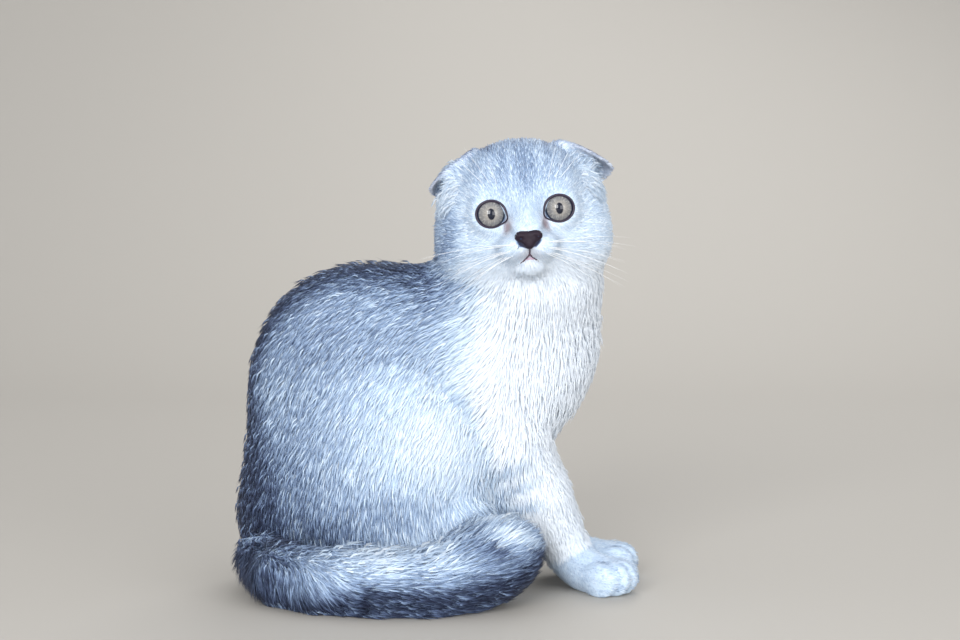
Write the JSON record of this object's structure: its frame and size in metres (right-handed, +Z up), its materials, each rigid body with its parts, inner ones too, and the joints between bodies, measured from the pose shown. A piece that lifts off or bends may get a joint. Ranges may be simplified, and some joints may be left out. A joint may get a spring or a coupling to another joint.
{
  "type": "scottish fold cat",
  "caption": "Life-size sitting kitten with folded ears and a plush silver coat, body in profile, head turned to the side, tail wrapped round its right side.",
  "frame": {"origin": "on the floor under the middle of the animal's length and width, the tail and paws included", "axes": "+Z up; +X the way the body faces, from rump to forepaws; -Y the side that the face and the animal's right flank look towards, where the tail lies"},
  "size_m": [0.2038, 0.1424, 0.2222],
  "materials": {
    "coat": "short dense plush fur, silver shaded over white",
    "coat_tail": "longer bushy fur, silver ringed with slate grey",
    "coat_ears": "very short fur, slate grey behind and pale in front",
    "nose_leather": "bare moist skin, dark plum",
    "eye": "clear moist cornea over a grey-beige iris with an upright oval pupil"
  },
  "bodies": {
    "root": {"nose": "nose_leather", "eye_left": "eye", "eye_right": "eye", "ear_left": "coat_ears", "ear_right": "coat_ears", "tail_root": "coat_tail", "tail_middle": "coat_tail", "tail_tip": "coat_tail", "hind_foot_right": "coat", "hind_leg_right": "coat", "forepaw_right": "coat", "foreleg_right": "coat", "hind_foot_left": "coat", "hind_leg_left": "coat", "forepaw_left": "coat", "foreleg_left": "coat", "head": "coat", "neck": "coat", "torso_front": "coat", "torso_rear": "coat"}
  },
  "joints": []
}
